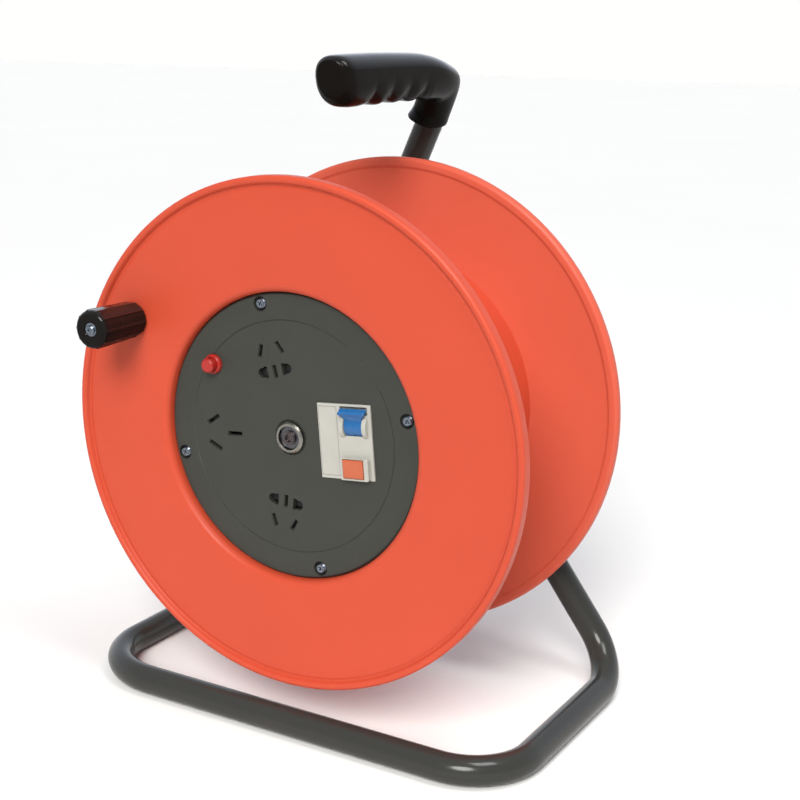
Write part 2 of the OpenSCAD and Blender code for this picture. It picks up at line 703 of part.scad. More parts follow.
// clamp that holds the cord on the rear web
clamp_a = -100;
module cord_clamp() {
    color([0.82, 0.80, 0.72]) lay(clamp_a) translate([52, web_b, 0]) difference() {
        union() {
            translate([-5, -3, -15]) cube([10, 3, 30]);
            translate([-5, -12, -8]) cube([10, 12, 16]);
        }
        translate([-6, -5.6, 0]) rotate([0, 90, 0]) cylinder(r = 4.8, h = 12);
        translate([-6, -5.6 + 0.01, -4.8]) cube([12, 5.7, 9.6]);
        for (k = [-1, 1]) translate([0, -4, k * 11.5]) rotate([-90, 0, 0]) cylinder(r = 1.7, h = 6);
    }
}
module cord_clamp_screws() {
    color(steel) lay(clamp_a) translate([52, web_b, 0]) for (k = [-1, 1]) translate([0, 0, k * 11.5]) difference() {
        union() {
            translate([0, -5, 0]) rotate([-90, 0, 0]) cylinder(r = 3.2, h = 2);
            translate([0, -3.5, 0]) rotate([-90, 0, 0]) cylinder(r = 1.7, h = 3.5);
        }
        translate([-2.4, -5.5, -0.4]) cube([4.8, 1.2, 0.8]);
    }
}
module socket_screws() {
    // hold the outlets to the panel's posts, from behind
    color(steel) {
        for (a = [top_a, bot_a], k = [-1, 1]) lay(a) at(67.8, k * 12.5) yc(1.2, back - 11, back);
        for (k = [-1, 1]) lay(180) at(71.4, k * 13) yc(1.2, back - 11, back);
    }
}

// ---- crank knob ----
module knob_at() { drum(knob_a) at(knob_pr, 0) children(); }
knob_b = web_s + 0.5;         // base of the knob
knob_e = knob_b + knob_l;     // free end of the knob
cup_s = knob_e - 1.6;         // floor of the recess at the free end
module knob() {
    color(black) knob_at() difference() {
        union() {
            // flared grip with a rounded base
            translate([0, -knob_b - 1.4, 0]) rotate([90, 0, 0]) cylinder(r1 = knob_r - 1, r2 = knob_r, h = knob_l - 3.6);
            translate([0, -knob_b, 0]) rotate([90, 0, 0]) cylinder(r1 = knob_r - 2.2, r2 = knob_r - 1, h = 1.4);
            translate([0, -knob_e + 2.2, 0]) rotate([90, 0, 0]) cylinder(r1 = knob_r, r2 = knob_r - 1.6, h = 2.2);
        }
        // flutes
        for (a = [0:36:324]) rotate([0, a, 0]) translate([knob_r + 3.4, 0, 0]) rotate([90, 0, 0])
            translate([0, 0, knob_b - 1]) cylinder(r = 4, h = knob_l + 2);
        yc(3.46, 40, 140);
        yc(4.4, cup_s, 140);
    }
}
module knob_sleeve() {
    color(steel) knob_at() difference() { yc(3.4, web_s, cup_s + 0.15); yc(2, 40, 140); }
}
module knob_washer() {
    color(steel) knob_at() difference() { yc(4.15, cup_s + 0.15, cup_s + 0.95); yc(2, 40, 140); }
}
module knob_screw() {
    color(steel) knob_at() pan_screw(3, 1.9, 2, cup_s + 0.95, web_b - 4.5);
}

base_tube();
left_leg_tube();
right_leg_tube();
axle_bracket();
axle();
axle_weld();
axle_spacer();
thrust_washer();
retaining_washer();
axle_screw();
grip_left_shell();
grip_right_shell();
grip_screws();
front_flange();
drum_core();
rear_flange();
flange_screws();
front_bush();
rear_bush();
socket_panel();
panel_screws();
top_socket_body();
bottom_socket_body();
left_socket_body();
top_socket_contacts();
bottom_socket_contacts();
left_socket_contacts();
top_socket_shutter();
bottom_socket_shutter();
left_socket_shutter();
socket_screws();
rcd_housing();
rcd_cover();
rcd_toggle();
rcd_test_button();
overload_body();
overload_collar();
overload_reset_button();
terminal_block();
terminal_screws();
wire_live();
wire_neutral();
wire_earth();
cable_gland();
gland_nut();
cord_clamp();
cord_clamp_screws();
knob();
knob_sleeve();
knob_washer();
knob_screw();
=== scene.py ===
"""Extension cord reel: the looks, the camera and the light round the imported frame."""
import math

import bpy
import bmesh
from mathutils import Matrix, Vector


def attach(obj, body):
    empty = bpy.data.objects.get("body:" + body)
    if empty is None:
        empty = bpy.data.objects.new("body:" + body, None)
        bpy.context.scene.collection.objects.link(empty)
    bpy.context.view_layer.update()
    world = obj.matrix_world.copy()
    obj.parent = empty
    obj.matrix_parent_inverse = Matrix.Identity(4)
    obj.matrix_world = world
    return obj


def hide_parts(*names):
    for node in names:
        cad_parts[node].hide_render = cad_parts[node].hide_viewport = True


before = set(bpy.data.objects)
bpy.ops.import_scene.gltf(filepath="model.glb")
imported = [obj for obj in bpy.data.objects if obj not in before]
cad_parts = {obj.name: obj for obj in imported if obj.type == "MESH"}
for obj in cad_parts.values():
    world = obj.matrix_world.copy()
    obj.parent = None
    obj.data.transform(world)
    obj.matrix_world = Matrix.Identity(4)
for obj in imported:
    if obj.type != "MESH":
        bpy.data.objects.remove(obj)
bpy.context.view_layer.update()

MM = 0.001
YS = -5.4        # the drum's middle along Y, mm
AXLE = 185.5     # height of the axle, mm
LAYOUT = 5.5     # turn of the panel's layout, degrees
scene = bpy.context.scene


# ---------------------------------------------------------------- camera
def make_camera():
    az, el, roll = 0.57112, 0.25986, 0.00536
    back = Vector((math.sin(az) * math.cos(el), -math.cos(az) * math.cos(el), math.sin(el)))
    right = (-back).cross(Vector((0, 0, 1))).normalized()
    up = right.cross(-back)
    r2 = right * math.cos(roll) + up * math.sin(roll)
    u2 = -right * math.sin(roll) + up * math.cos(roll)
    m = Matrix((r2, u2, back)).transposed().to_4x4()
    m.translation = Vector((-30.15, YS, 184.58)) * MM + back * 973.6 * MM
    data = bpy.data.cameras.new("camera")
    data.sensor_width = 36.0
    data.lens = 1531.2 * 36.0 / 800.0
    data.shift_x = (400 - 303.79) / 800
    data.shift_y = (409.64 - 400) / 800
    data.clip_start, data.clip_end = 0.01, 50
    cam = bpy.data.objects.new("camera", data)
    cam.matrix_world = m
    scene.collection.objects.link(cam)
    scene.camera = cam


make_camera()


# ---------------------------------------------------------------- materials
def lin(c):
    return tuple((v / 12.92 if v <= 0.04045 else ((v + 0.055) / 1.055) ** 2.4) for v in c)


class Mat:
    """A procedural material: colour variation, roughness variation and bump from object-space noise."""

    def __init__(self, name, rgb, rough=0.4, metal=0.0, spec=0.5, coat=0.0, coat_rough=0.1,
                 tint=0.06, tint_scale=25, rough_var=0.08, rough_scale=140,
                 bump=0.15, bump_scale=900, bump_dist=0.0002, soft=0.0, dust=None, top=None):
        m = bpy.data.materials.new(name)
        m.use_nodes = True
        self.m, nt = m, m.node_tree
        self.nt = nt
        bsdf = nt.nodes["Principled BSDF"]
        self.bsdf = bsdf
        bsdf.inputs["Metallic"].default_value = metal
        bsdf.inputs["Specular IOR Level"].default_value = spec
        bsdf.inputs["Coat Weight"].default_value = coat
        bsdf.inputs["Coat Roughness"].default_value = coat_rough
        tc = nt.nodes.new("ShaderNodeTexCoord")
        self.tc = tc
        base = lin(rgb)
        dark = tuple(max(0.0, c * (1 - tint)) for c in base) + (1,)
        light = tuple(min(1.0, c * (1 + tint)) for c in base) + (1,)
        n1 = self.noise(tint_scale, 5, 0.6)
        ramp = nt.nodes.new("ShaderNodeValToRGB")
        ramp.color_ramp.elements[0].position = 0.3
        ramp.color_ramp.elements[0].color = dark
        ramp.color_ramp.elements[1].position = 0.7
        ramp.color_ramp.elements[1].color = light
        nt.links.new(n1.outputs["Fac"], ramp.inputs["Fac"])
        self.colour = ramp.outputs["Color"]
        n2 = self.noise(rough_scale, 4, 0.55)
        mr = nt.nodes.new("ShaderNodeMapRange")
        mr.inputs["From Min"].default_value = 0.3
        mr.inputs["From Max"].default_value = 0.7
        mr.inputs["To Min"].default_value = max(0.02, rough - rough_var)
        mr.inputs["To Max"].default_value = min(1.0, rough + rough_var)
        nt.links.new(n2.outputs["Fac"], mr.inputs["Value"])
        self.rough = mr.outputs["Result"]
        n3 = self.noise(bump_scale, 3, 0.5)
        bp = nt.nodes.new("ShaderNodeBump")
        bp.inputs["Strength"].default_value = bump
        bp.inputs["Distance"].default_value = bump_dist
        nt.links.new(n3.outputs["Fac"], bp.inputs["Height"])
        self.bump = bp
        if soft:
            bv = nt.nodes.new("ShaderNodeBevel")
            bv.inputs["Radius"].default_value = soft
            bv.samples = 4
            nt.links.new(bv.outputs["Normal"], bp.inputs["Normal"])
        if dust:
            self.edge(*dust)
        if top:
            self.polish(*top)
        nt.links.new(self.colour, bsdf.inputs["Base Color"])
        nt.links.new(self.rough, bsdf.inputs["Roughness"])
        nt.links.new(bp.outputs["Normal"], bsdf.inputs["Normal"])

    def polish(self, amount, low, high):
        """Upper faces are smoother: hands and wiping have polished them."""
        nt = self.nt
        xyz = nt.nodes.new("ShaderNodeSeparateXYZ")
        nt.links.new(self.tc.outputs["Normal"], xyz.inputs[0])
        mr = nt.nodes.new("ShaderNodeMapRange")
        mr.inputs["From Min"].default_value = low
        mr.inputs["From Max"].default_value = high
        mr.inputs["To Min"].default_value = 0.0
        mr.inputs["To Max"].default_value = amount
        nt.links.new(xyz.outputs["Z"], mr.inputs["Value"])
        nt.links.new(mr.outputs["Result"], self.bsdf.inputs["Coat Weight"])

    def noise(self, scale, detail, rough):
        n = self.nt.nodes.new("ShaderNodeTexNoise")
        n.inputs["Scale"].default_value = scale
        n.inputs["Detail"].default_value = detail
        n.inputs["Roughness"].default_value = rough
        self.nt.links.new(self.tc.outputs["Object"], n.inputs["Vector"])
        return n

    def edge(self, rgb, lo_p, hi_p, amount):
        """Worn or dusty edges, from the surface's pointiness."""
        nt = self.nt
        geo = nt.nodes.new("ShaderNodeNewGeometry")
        mr = nt.nodes.new("ShaderNodeMapRange")
        mr.inputs["From Min"].default_value = lo_p
        mr.inputs["From Max"].default_value = hi_p
        mr.inputs["To Min"].default_value = 0.0
        mr.inputs["To Max"].default_value = amount
        nt.links.new(geo.outputs["Pointiness"], mr.inputs["Value"])
        n = self.noise(300, 4, 0.6)
        mu = nt.nodes.new("ShaderNodeMath")
        mu.operation = "MULTIPLY"
        nt.links.new(mr.outputs["Result"], mu.inputs[0])
        nt.links.new(n.outputs["Fac"], mu.inputs[1])
        mix = nt.nodes.new("ShaderNodeMix")
        mix.data_type = "RGBA"
        mix.inputs[7].default_value = lin(rgb) + (1,)
        nt.links.new(mu.outputs[0], mix.inputs[0])
        nt.links.new(self.colour, mix.inputs[6])
        self.colour = mix.outputs[2]


M = {
    "orange": Mat("drum_plastic", (0.745, 0.282, 0.186), rough=0.40, tint=0.03, tint_scale=9, rough_var=0.05,
                  rough_scale=60, bump=0.10, bump_scale=700, bump_dist=0.00015, spec=0.22),
    # rear flange: the same plastic as the front, but this copy is made paler and less red to paint in light against
    # the shade and red bounce between the two flanges
    "orange_paled_light": Mat("drum_plastic_rear_painted_light", (0.765, 0.33, 0.245), rough=0.40, tint=0.03, tint_scale=9, rough_var=0.05,
                   rough_scale=60, bump=0.10, bump_scale=700, bump_dist=0.00015, spec=0.22),
    "tube": Mat("stand_powder_coat", (0.205, 0.207, 0.195), rough=0.22, tint=0.025, tint_scale=40, rough_var=0.03,
                rough_scale=220, bump=0.05, bump_scale=900, bump_dist=0.0001, spec=0.22, top=(0.4, 0.35, 0.9), coat_rough=0.08),
    "panel": Mat("panel_plastic", (0.213, 0.218, 0.197), rough=0.46, tint=0.05, tint_scale=30, bump=0.35,
                 bump_scale=2200, bump_dist=0.00012, spec=0.25, soft=0.0003),
    "grip": Mat("grip_plastic", (0.075, 0.066, 0.058), rough=0.22, tint=0.12, tint_scale=80, rough_var=0.06,
                bump=0.12, bump_scale=1500, bump_dist=0.0001, spec=0.03, top=(1.0, 0.25, 0.72), coat_rough=0.14),
    "knob": Mat("knob_plastic", (0.085, 0.075, 0.070), rough=0.30, tint=0.12, tint_scale=90, rough_var=0.06,
                bump=0.10, bump_scale=1400, bump_dist=0.0001, spec=0.06, top=(0.8, 0.0, 0.8), coat_rough=0.12),
    "black": Mat("insert_plastic", (0.07, 0.07, 0.07), rough=0.55, tint=0.1, bump=0.2, bump_scale=1600,
                 bump_dist=0.0001),
    "ivory": Mat("breaker_plastic", (0.67, 0.665, 0.63), rough=0.38, tint=0.03, tint_scale=60, bump=0.12,
                 bump_scale=1300, bump_dist=0.0001, soft=0.0004),
    "blue": Mat("toggle_plastic", (0.11, 0.36, 0.58), rough=0.30, tint=0.06, tint_scale=120, bump=0.12,
                bump_scale=1500, bump_dist=0.0001, soft=0.0006),
    "test": Mat("test_plastic", (0.70, 0.35, 0.22), rough=0.36, tint=0.05, tint_scale=120, bump=0.12,
                bump_scale=1500, bump_dist=0.0001, soft=0.0004),
    "red": Mat("reset_plastic", (0.63, 0.125, 0.09), rough=0.36, tint=0.06, tint_scale=120, bump=0.12,
               bump_scale=1500, bump_dist=0.0001, soft=0.0004),
    "steel": Mat("zinc_steel", (0.47, 0.50, 0.54), rough=0.30, metal=1.0, tint=0.06, tint_scale=300,
                 rough_var=0.06, rough_scale=500, bump=0.1, bump_scale=2600, bump_dist=0.00006, soft=0.0002),
    "chrome": Mat("axle_ring", (0.55, 0.54, 0.51), rough=0.30, metal=1.0, tint=0.06, tint_scale=300,
                  rough_var=0.07, rough_scale=700, bump=0.15, bump_scale=3000, bump_dist=0.00004, soft=0.0002),
    "washer": Mat("washer_steel", (0.36, 0.36, 0.38), rough=0.34, metal=1.0, tint=0.10, tint_scale=400,
                  rough_var=0.1, bump=0.2, bump_scale=2600, bump_dist=0.00005, soft=0.0002),
    "core_screw": Mat("axle_screw_steel", (0.36, 0.33, 0.33), rough=0.36, metal=1.0, tint=0.12, tint_scale=500,
                      bump=0.2, bump_scale=2600, bump_dist=0.00005, soft=0.0002),
    "brass": Mat("brass", (0.78, 0.62, 0.32), rough=0.3, metal=1.0),
    "nylon": Mat("nylon", (0.84, 0.83, 0.77), rough=0.45, tint=0.03, soft=0.0004),
    "brown": Mat("wire_brown", (0.40, 0.23, 0.14), rough=0.4),
    "wblue": Mat("wire_blue", (0.17, 0.33, 0.62), rough=0.4),
    "green": Mat("wire_green", (0.50, 0.62, 0.20), rough=0.4),
}


# ---------------------------------------------------------------- mesh helpers
def add(name, verts, faces, mat, body, slot, nodes=(), angle=32, merge=True):
    """A mesh piece from millimetre points already in the row frame."""
    me = bpy.data.meshes.new(name)
    me.from_pydata([(x * MM, y * MM, z * MM) for x, y, z in verts], [], faces)
    bm = bmesh.new()
    bm.from_mesh(me)
    if merge:
        bmesh.ops.remove_doubles(bm, verts=bm.verts, dist=1e-6)
    bmesh.ops.recalc_face_normals(bm, faces=bm.faces)
    bm.to_mesh(me)
    bm.free()
    me.materials.append(mat.m)
    me.shade_smooth()
    me.set_sharp_from_angle(angle=math.radians(angle))
    ob = bpy.data.objects.new(name, me)
    scene.collection.objects.link(ob)
    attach(ob, body)
    if nodes:
        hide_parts(*nodes)
    return ob


def rounded(pts, seg=5):
    """A closed outline with its corners rounded: points are (a, b, radius)."""
    out, n = [], len(pts)
    for i in range(n):
        p, q, r = (Vector(pts[i - 1][:2]), Vector(pts[i][:2]), Vector(pts[(i + 1) % n][:2]))
        rad = pts[i][2] if len(pts[i]) > 2 else 0
        d1, d2 = (p - q), (r - q)
        l1, l2 = d1.length, d2.length
        if rad <= 0 or l1 < 1e-6 or l2 < 1e-6:
            out.append((q.x, q.y))
            continue
        d1, d2 = d1 / l1, d2 / l2
        ang = math.acos(max(-1, min(1, d1.dot(d2))))
        if ang > math.pi - 0.02:
            out.append((q.x, q.y))
            continue
        t = min(rad / math.tan(ang / 2), l1 * 0.499, l2 * 0.499)
        rad = t * math.tan(ang / 2)
        c = q + (d1 + d2).normalized() * (rad / math.sin(ang / 2))
        a, b = q + d1 * t, q + d2 * t
        va, vb = a - c, b - c
        k = max(2, seg if rad > 0.6 else 3)
        sweep = math.acos(max(-1, min(1, va.dot(vb) / (va.length * vb.length))))
        sgn = 1 if va.x * vb.y - va.y * vb.x > 0 else -1
        for j in range(k + 1):
            w = sgn * sweep * j / k
            out.append((c.x + va.x * math.cos(w) - va.y * math.sin(w), c.y + va.x * math.sin(w) + va.y * math.cos(w)))
    return out


def ring(outline, n=240, front=True, axis_x=0.0, axis_z=AXLE, ripple=None):
    """Revolves a closed outline of (radius, distance ahead of the drum's middle) about an axis along Y."""
    verts, faces, k = [], [], len(outline)
    for i in range(n):
        a = 2 * math.pi * i / n
        for r, s in outline:
            rr = r + (ripple(a, r, s) if ripple else 0)
            verts.append((axis_x + rr * math.cos(a), YS + (-s if front else s), axis_z + rr * math.sin(a)))
    for i in range(n):
        j = (i + 1) % n
        for m in range(k):
            q = (m + 1) % k
            faces.append((i * k + m, i * k + q, j * k + q, j * k + m))
    return verts, faces


def joined(*parts):
    verts, faces = [], []
    for v, f in parts:
        o = len(verts)
        verts += v
        faces += [tuple(i + o for i in g) for g in f]
    return verts, faces


# ---------------------------------------------------------------- drum shells
FACE_RIM = [(147.6, 67.2, 1.6), (149.6, 66.5, 1.1), (151.1, 70, 2.2), (155, 70, 2.2)]
BACK_RIM = [(155, 63.2, 4.4), (149.6, 63.2, 1.5), (148.2, 64, 2.0)]
RIM = FACE_RIM + [(155, 61, 1.9), (150.4, 61, 1.9), (150.4, 64, 0.8)]
front_outline = rounded([(77, 55, 0.3), (77, 58, 0.2), (87.6, 58, 0.2), (87.6, 67.2, 5.0)] + RIM +
                        [(97.0, 64, 0.3), (94.5, 64, 0.2), (94.5, 54, 0.3), (92.3, 54, 0.3), (92.3, 62, 0.3),
                         (89.8, 62, 0.3), (89.8, 55, 0.3)], 8)
kx, kz = 127.1 * math.cos(math.radians(151.8)), 127.1 * math.sin(math.radians(151.8)) + AXLE
boss = ring(rounded([(2, 59, 0.2), (2, 64.3, 0), (8, 64.3, 0), (8, 59, 0.8)]), 48, True, kx, kz)
front = add("front_shell", *joined(ring(front_outline), boss), M["orange"], "drum", "drum_orange", ["front_flange"])

rear_outline = rounded([(9, 52, 0.3), (9, 67.2, 0.3), (25.4, 67.2, 0.5), (26, 68.5, 0.5), (28, 68.5, 0.5), (28.6, 67.2, 0.5),
                        (71.4, 67.2, 0.5), (72, 68.5, 0.5), (74, 68.5, 0.5), (74.6, 67.2, 0.5)] + FACE_RIM + BACK_RIM +
                       [(94.5, 64, 0.2), (94.5, 54, 0.3), (92.3, 54, 0.3), (92.3, 64, 0.3), (14.5, 64, 0.8), (14.5, 52, 0.3)], 8)
# the rear shell wears the paled copy of the drum plastic: painted light
rear = add("rear_shell", *ring(rear_outline, front=False), M["orange_paled_light"], "drum", "drum_orange", ["rear_flange"])


# ---------------------------------------------------------------- stand tube
TR = 9.0
SX, FY, RY = 150.3, -73.5, 104.0
BF, BL, BB, BG = 40.0, 49.0, 34.0, 27.0
GX, GZ, ZB = 12.5, 391.0, 9.0
lean = math.atan((GX + SX) / (GZ - ZB))
leg_l = (GZ - ZB) / math.cos(lean)
ra = math.radians(36.6)
L = Vector((math.sin(lean), 0, math.cos(lean)))        # up the left leg
Rr = Vector((-math.sin(ra), 0, math.cos(ra)))          # up the right leg
PL = Vector((-SX, 0, ZB))
PR = Vector((SX, 0, ZB))
meet = 2 * SX / (math.tan(lean) + math.tan(ra))
right_l = meet / math.cos(ra)


def arc(c, u, v, r, a0, a1, n):
    return [c + u * (r * math.cos(a0 + (a1 - a0) * i / n)) + v * (r * math.sin(a0 + (a1 - a0) * i / n)) for i in range(n + 1)]


def straight(a, b, n):
    return [a.lerp(b, i / n) for i in range(n + 1)]


X, Y, Z = Vector((1, 0, 0)), Vector((0, 1, 0)), Vector((0, 0, 1))
P2 = math.pi / 2
z0 = ZB - 0.2
path = []
path += straight(PL + L * leg_l + Y * -22, PL + L * leg_l + Y * (RY - BG), 6)
path += arc(PL + L * (leg_l - BG) + Y * (RY - BG), L, Y, BG, 0, P2, 14)[1:]
path += straight(PL + L * (leg_l - BG) + Y * RY, PL + L * BB + Y * RY, 16)[1:]
path += arc(PL + L * BB + Y * (RY - BB), Y, -L, BB, 0, P2, 16)[1:]
path += straight(Vector((-SX, RY - BB, ZB)), Vector((-SX, FY + BL, z0)), 6)[1:]
path += arc(Vector((-SX + BL, FY + BL, z0)), -X, -Y, BL, 0, P2, 20)[1:]
path += straight(Vector((-SX + BL, FY, z0)), Vector((SX - BF, FY, z0)), 10)[1:]
path += arc(Vector((SX - BF, FY + BF, z0)), -Y, X, BF, 0, P2, 18)[1:]
path += straight(Vector((SX, FY + BF, z0)), Vector((SX, RY - BB, ZB)), 6)[1:]
path += arc(PR + Rr * BB + Y * (RY - BB), -Rr, Y, BB, 0, P2, 16)[1:]
path += straight(PR + Rr * BB + Y * RY, PR + Rr * (right_l - 3.5) + Y * RY, 14)[1:]
clean = [path[0]]
for p in path[1:]:
    if (p - clean[-1]).length > 0.05:
        clean.append(p)
path = clean


def sweep(path, radius, n=48, closed=False, flat_floor=False, wobble=None):
    """A round tube along a path, with frames carried along it so that it doesn't twist."""
    m = len(path)
    tang = []
    for i in range(m):
        a = path[i - 1] if (i > 0 or closed) else path[i]
        b = path[(i + 1) % m] if (i < m - 1 or closed) else path[i]
        tang.append((b - a).normalized())
    nrm = tang[0].orthogonal().normalized()
    verts, faces = [], []
    for i in range(m):
        nrm = (nrm - tang[i] * nrm.dot(tang[i])).normalized()
        bi = tang[i].cross(nrm)
        for k in range(n):
            a = 2 * math.pi * k / n
            u = nrm * math.cos(a) + bi * math.sin(a)
            r = radius * (1 + (wobble(i, a) if wobble else 0))
            p = path[i] + u * r
            if flat_floor:
                p.z = max(p.z, 0.0)
            verts.append((p.x, p.y + YS, p.z))
    for i in range(m if closed else m - 1):
        j = (i + 1) % m
        for k in range(n):
            q = (k + 1) % n
            faces.append((i * n + k, i * n + q, j * n + q, j * n + k))
    if not closed:
        faces.append(tuple(range(n - 1, -1, -1)))
        faces.append(tuple((m - 1) * n + k for k in range(n)))
    return verts, faces


tube = add("stand_tube", *sweep(path, TR, flat_floor=True), M["tube"], "stand", "tube_paint",
           ["base_tube", "left_leg_tube", "right_leg_tube"], angle=40, merge=False)

# weld bead where the right leg meets the left one
bead = []
side = Rr.cross(Y).normalized()
for i in range(72):
    a = 2 * math.pi * i / 72
    rad = side * (math.cos(a) * (TR + 0.3)) + Y * (math.sin(a) * (TR + 0.3))
    # walk down the right leg to the left leg's surface
    t0, t1 = right_l - 40.0, right_l
    for _ in range(40):
        t = (t0 + t1) / 2
        p = PR + Rr * t + rad
        d = p - PL
        d = d - L * d.dot(L)
        if d.length > TR + 0.3:
            t0 = t
        else:
            t1 = t
    p = PR + Rr * t0 + rad
    bead.append(p + Y * RY)
add("leg_weld_bead", *sweep(bead, 1.9, n=12, closed=True, wobble=lambda i, a: 0.16 * math.sin(i * 2.1) + 0.05 * math.sin(i * 5.3 + a)),
    M["tube"], "stand", "tube_paint", angle=60, merge=False)


# ---------------------------------------------------------------- grip
def smooth01(t):
    t = max(0.0, min(1.0, t))
    return t * t * (3 - 2 * t)


def bez(pts, n):
    """Catmull-Rom through points."""
    out = []
    m = len(pts)
    for i in range(m - 1):
        p0, p1, p2, p3 = pts[max(0, i - 1)], pts[i], pts[i + 1], pts[min(m - 1, i + 2)]
        for k in range(n):
            t = k / n
            out.append(tuple(0.5 * (2 * b + (c - a) * t + (2 * a - 5 * b + 4 * c - d) * t * t + (3 * b - a - 3 * c + d) * t ** 3)
                             for a, b, c, d in zip(p0, p1, p2, p3)))
    out.append(tuple(pts[-1]))
    return out


# stations: outer point (y, w), inner point (y, w), half width, squareness, lean of the section
# w is the height over the tube's axis, along world Z at the front and along the leg at the back
ST = [
    (-41.4, 13.4, -35.6, -10.4, 10.6, 2.3, 0),
    (-39.5, 14.7, -33.6, -12.4, 12.2, 2.4, 0),
    (-35.0, 15.4, -30.0, -14.0, 13.0, 2.5, 0),
    (-24.0, 15.7, -22.0, -14.7, 13.1, 2.5, 0),
    (-11.0, 15.7, -11.0, -14.8, 13.1, 2.5, 0),
    (0.0, 15.7, 0.0, -14.7, 13.0, 2.5, 0),
    (15.0, 15.5, 15.0, -14.4, 12.9, 2.5, 0),
    (30.0, 15.2, 30.0, -14.4, 12.8, 2.5, 0.02),
    (44.0, 14.8, 45.0, -14.5, 12.8, 2.5, 0.08),
    (57.0, 14.2, 58.0, -14.5, 12.8, 2.5, 0.20),
    (69.0, 13.0, 68.0, -14.6, 12.9, 2.5, 0.40),
    (80.0, 11.2, 76.0, -14.8, 12.9, 2.5, 0.62),
    (91.0, 8.7, 82.0, -15.4, 12.7, 2.4, 0.80),
    (100.6, 6.0, 83.4, -16.2, 12.3, 2.3, 0.92),
    (107.6, 2.6, 84.0, -17.8, 11.9, 2.2, 1.0),
    (111.0, -2.4, 84.6, -19.6, 11.6, 2.2, 1.0),
    (112.6, -8.6, 85.4, -21.6, 11.4, 2.2, 1.0),
    (113.4, -15.0, 86.2, -24.0, 11.3, 2.2, 1.0),
    (113.8, -20.5, 86.6, -26.8, 11.3, 2.2, 1.0),
    (113.8, -24.5, 86.0, -29.4, 11.5, 2.2, 1.0),
    (113.7, -27.4, 85.0, -31.6, 11.9, 2.2, 1.0),
    (113.6, -28.6, 84.6, -32.6, 12.0, 2.2, 1.0),
    (113.5, -29.1, 84.7, -33.2, 11.9, 2.2, 1.0),
    (113.2, -29.3, 85.2, -33.4, 11.6, 2.2, 1.0),
]
NOTCH = [-5.0, 16.0, 37.0, 57.5]


def groove(y):
    """0 on a lobe's crown, up to 1 at a notch between fingers."""
    if y <= NOTCH[0]:
        return math.exp(-((NOTCH[0] - y) / 6.5))
    for a, b in zip(NOTCH, NOTCH[1:]):
        if y <= b:
            t = (y - a) / (b - a)
            return (1 - math.sin(math.pi * t)) ** 0.9
    return math.exp(-((y - NOTCH[-1]) / 4.0))


def grip_mesh(n=72, per=5):
    st = bez(ST, per)
    # finer along the finger grooves
    fine = []
    for a, b in zip(st, st[1:]):
        k = 2 if 20 > a[2] > -20 or 20 < a[2] < 66 else 1
        for j in range(k):
            fine.append(tuple(p + (q - p) * j / k for p, q in zip(a, b)))
    fine.append(st[-1])
    verts, faces = [], []
    C = Vector((GX, 0, GZ))
    rings = []
    for oy, ow, iy, iw, hw, ex, tilt in fine:
        D = (Z * (1 - tilt) + L * tilt).normalized()
        e1 = Y.cross(D).normalized()
        O = C + Y * oy + D * ow
        I = C + Y * iy + D * iw
        mid, e2 = (O + I) / 2, (O - I) / 2
        row = []
        for k in range(n):
            a = 2 * math.pi * k / n
            ca, sa = math.cos(a), math.sin(a)
            # superellipse
            e = ex
            rx = abs(ca) ** (2 / e) * (1 if ca > 0 else -1)
            rz = abs(sa) ** (2 / e) * (1 if sa > 0 else -1)
            p = mid + e1 * (hw * rx) + e2 * rz
            # finger grooves: deepest underneath, fading out up the sides
            if sa < 0.15:
                y = p.y + 4.5 * abs(ca)
                g = groove(y)
                w = smooth01((0.15 - sa) / 0.9)
                if y < 66:
                    depth = 2.1 * g * w
                    p = p + (mid - p).normalized() * depth
            # flat for the thumb behind the crest
            if 72 < p.y < 112:
                p.z = min(p.z, GZ + 10.6 - 0.30 * (p.y - 80))
            row.append(p)
        rings.append(row)
    # rounded front end: the outline shrinks inwards in a few steps
    first = rings[0]
    mid = sum(first, Vector()) / n
    fwd = (-Y + Z * 0.16).normalized()
    caps = []
    for s, h in ((0.95, 0.75), (0.89, 1.25), (0.81, 1.58), (0.66, 1.78), (0.40, 1.9), (0.18, 1.95)):
        caps.append([mid + (p - mid) * s + fwd * h for p in first])
    rings = caps[::-1] + rings
    for row in rings:
        verts += [(p.x, p.y + YS, p.z) for p in row]
    m = len(rings)
    for i in range(m - 1):
        for k in range(n):
            q = (k + 1) % n
            faces.append((i * n + k, i * n + q, (i + 1) * n + q, (i + 1) * n + k))
    faces.append(tuple(range(n - 1, -1, -1)))
    # open end of the sleeve: a rim, then the wall inside down to the tube
    last = rings[-1]
    mid = sum(last, Vector()) / n
    axis_pt = PL + L * leg_l + Y * RY
    base = len(verts)
    inner = []
    for p in last:
        d = p - axis_pt
        along = d.dot(L)
        rad = (d - L * along)
        inner.append((rad.normalized() * (TR + 0.25)) + axis_pt + L * (-30.4))
    step = [last[k] * 0.35 + inner[k] * 0.65 for k in range(n)]
    deep = [p + L * 14 for p in inner]
    for row in (inner, deep):
        verts += [(p.x, p.y + YS, p.z) for p in row]
    o = (m - 1) * n
    for k in range(n):
        q = (k + 1) % n
        faces.append((o + k, o + q, base + q, base + k))
        faces.append((base + k, base + q, base + n + q, base + n + k))
    faces.append(tuple(base + n + k for k in range(n)))
    return verts, faces


grip = add("grip", *grip_mesh(), M["grip"], "stand", "grip_black", ["grip_left_shell", "grip_right_shell"], angle=50, merge=False)

